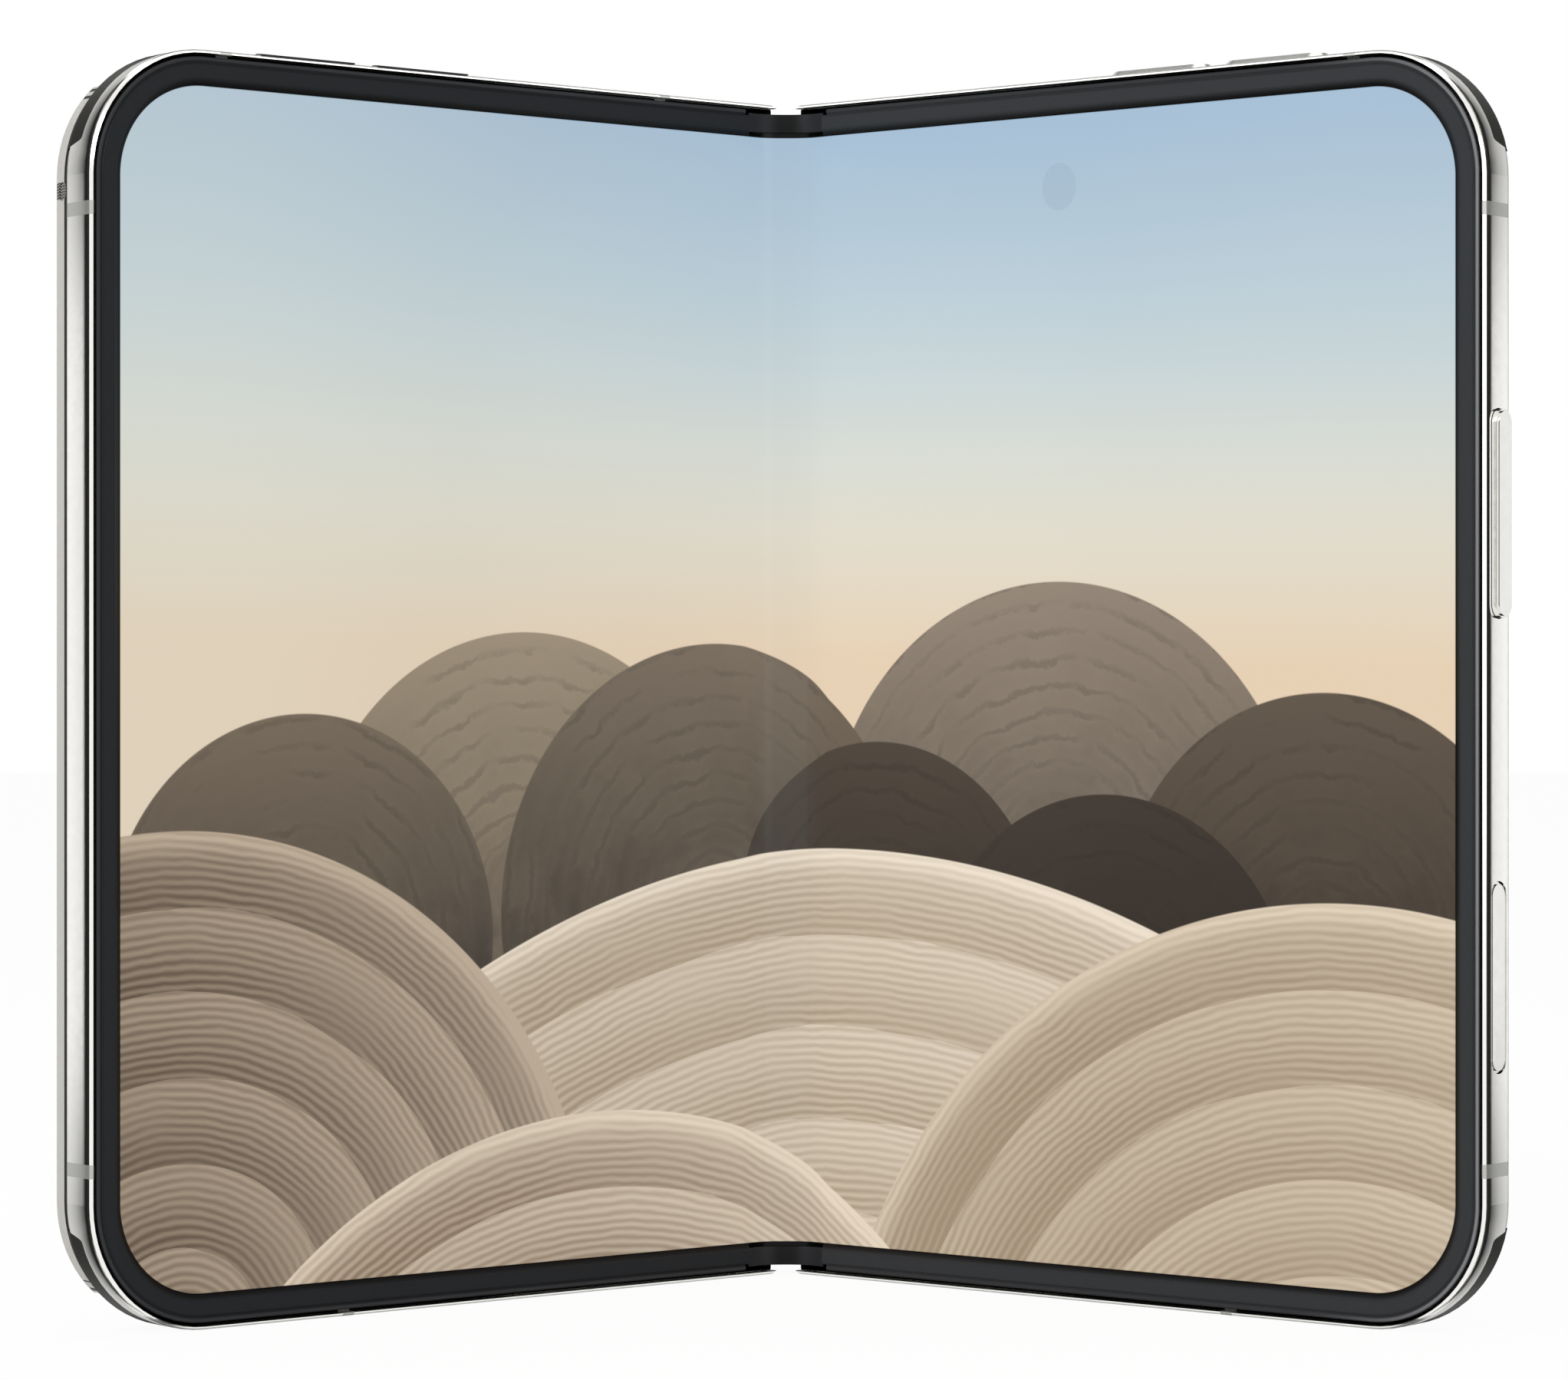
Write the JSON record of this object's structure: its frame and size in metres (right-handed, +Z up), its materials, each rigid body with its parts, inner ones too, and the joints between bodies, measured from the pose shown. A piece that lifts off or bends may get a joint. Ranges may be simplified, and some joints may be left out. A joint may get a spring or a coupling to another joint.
{
  "type": "foldable smartphone",
  "caption": "Book-style folding phone standing half open: two thin rounded halves on a geared spine, flexible inner display, side and top buttons, raised rear camera deck.",
  "frame": {"origin": "centre of the bounding box at the level it stands on, with the fold line vertical and both halves folded up 38.5 degrees from flat", "axes": "+Z up along the fold, +X to the right seen from in front of the inner display, -Y towards the viewer"},
  "size_m": [0.1361, 0.0542, 0.1211],
  "materials": {
    "polished_frame": "polished metal",
    "antenna": "satin plastic",
    "bezel": "satin black plastic",
    "alloy": "machined",
    "screen": "glossy display film, lit",
    "spine_metal": "satin anodised",
    "steel": "ground",
    "gear": "cut teeth",
    "cap": "matte elastomer",
    "trim": "satin plastic",
    "cell": "foil wrap",
    "board": "solder mask",
    "magnet": "nickel plated",
    "rear_glass": "matte etched glass",
    "deck": "satin glass",
    "dark_glass": "gloss, black behind",
    "lens": "coated lens",
    "flash": "diffuser",
    "module": "black moulding",
    "cable": "polyimide film"
  },
  "bodies": {
    "spine": {"spine_cover": "spine_metal", "hinge_housings": "alloy", "display_support": "alloy", "spine_screws": "steel", "fold_flex_cables": "cable", "display_fold": "screen", "hinge_end_caps": "cap"},
    "left_half": {"left_frame": "polished_frame", "left_antenna_bands": "antenna", "left_bezel": "bezel", "left_midplate": "alloy", "left_display": "screen", "left_hinge_arms": "steel", "left_hinge_shafts": "steel", "left_friction_washers": "steel", "left_arm_screws": "steel", "left_rear_trim": "trim", "left_battery": "cell", "left_board": "board", "left_magnets": "magnet", "left_rear_cover": "rear_glass", "camera_deck": "deck", "camera_ring": "polished_frame", "camera_glass": "lens", "camera_module": "module", "flash_window": "flash", "deck_microphone": "module", "charging_port": "steel", "loudspeaker": "module", "top_edge_strips": "cap"},
    "right_half": {"right_frame": "polished_frame", "right_antenna_bands": "antenna", "right_bezel": "bezel", "right_midplate": "alloy", "right_display": "screen", "right_hinge_arms": "steel", "right_hinge_shafts": "steel", "right_friction_washers": "steel", "right_arm_screws": "steel", "right_rear_trim": "trim", "right_battery": "cell", "main_board": "board", "right_magnets": "magnet", "cover_glass": "dark_glass", "cover_display": "dark_glass", "cover_camera": "module", "under_display_camera": "module", "earpiece": "module", "vibration_motor": "steel", "button_switches": "module"},
    "idler_gear_lower_left": {"idler_gear_lower_left": "gear"},
    "idler_gear_lower_right": {"idler_gear_lower_right": "gear"},
    "idler_gear_upper_left": {"idler_gear_upper_left": "gear"},
    "idler_gear_upper_right": {"idler_gear_upper_right": "gear"},
    "power_button": {"power_button": "polished_frame"},
    "camera_control": {"camera_control": "polished_frame"},
    "volume_up_button": {"volume_up_button": "polished_frame"},
    "volume_down_button": {"volume_down_button": "polished_frame"}
  },
  "joints": [
    {"name": "left_fold", "type": "hinge", "parent": "spine", "child": "left_half", "pos_m": [-0.0027, 0.02544, 0.0603], "axis": [0, 0, 1], "range_deg": [-38.5, 51.5], "deforming": ["display_fold", "hinge_end_caps", "fold_flex_cables"]},
    {"name": "right_fold", "type": "hinge", "parent": "spine", "child": "right_half", "pos_m": [0.0027, 0.02544, 0.0603], "axis": [0, 0, -1], "range_deg": [-38.5, 51.5]},
    {"name": "lower_left_idler_spin", "type": "hinge", "parent": "spine", "child": "idler_gear_lower_left", "pos_m": [-0.0009, 0.02544, 0.0603], "axis": [0, 0, 1], "range_deg": [-60, 60]},
    {"name": "lower_right_idler_spin", "type": "hinge", "parent": "spine", "child": "idler_gear_lower_right", "pos_m": [0.0009, 0.02544, 0.0603], "axis": [0, 0, 1], "range_deg": [-60, 60]},
    {"name": "upper_left_idler_spin", "type": "hinge", "parent": "spine", "child": "idler_gear_upper_left", "pos_m": [-0.0009, 0.02544, 0.0603], "axis": [0, 0, 1], "range_deg": [-60, 60]},
    {"name": "upper_right_idler_spin", "type": "hinge", "parent": "spine", "child": "idler_gear_upper_right", "pos_m": [0.0009, 0.02544, 0.0603], "axis": [0, 0, 1], "range_deg": [-60, 60]},
    {"name": "power_button_press", "type": "slide", "parent": "right_half", "child": "power_button", "axis": [-0.7826, 0.6225, 0], "range_m": [0, 0.00025], "stiffness_N_per_m": 5000, "springref_m": -0.00015},
    {"name": "camera_control_press", "type": "slide", "parent": "right_half", "child": "camera_control", "axis": [-0.7826, 0.6225, 0], "range_m": [0, 0.00025], "stiffness_N_per_m": 5000, "springref_m": -0.00015},
    {"name": "volume_up_button_press", "type": "slide", "parent": "right_half", "child": "volume_up_button", "axis": [0, 0, -1], "range_m": [0, 0.00025], "stiffness_N_per_m": 5000, "springref_m": -0.00015},
    {"name": "volume_down_button_press", "type": "slide", "parent": "right_half", "child": "volume_down_button", "axis": [0, 0, -1], "range_m": [0, 0.00025], "stiffness_N_per_m": 5000, "springref_m": -0.00015}
  ],
  "couplings": [
    {"joint": "right_fold", "follows": "left_fold", "ratio": 1},
    {"joint": "lower_left_idler_spin", "follows": "left_fold", "ratio": -1},
    {"joint": "lower_right_idler_spin", "follows": "left_fold", "ratio": 1},
    {"joint": "upper_left_idler_spin", "follows": "left_fold", "ratio": -1},
    {"joint": "upper_right_idler_spin", "follows": "left_fold", "ratio": 1}
  ]
}
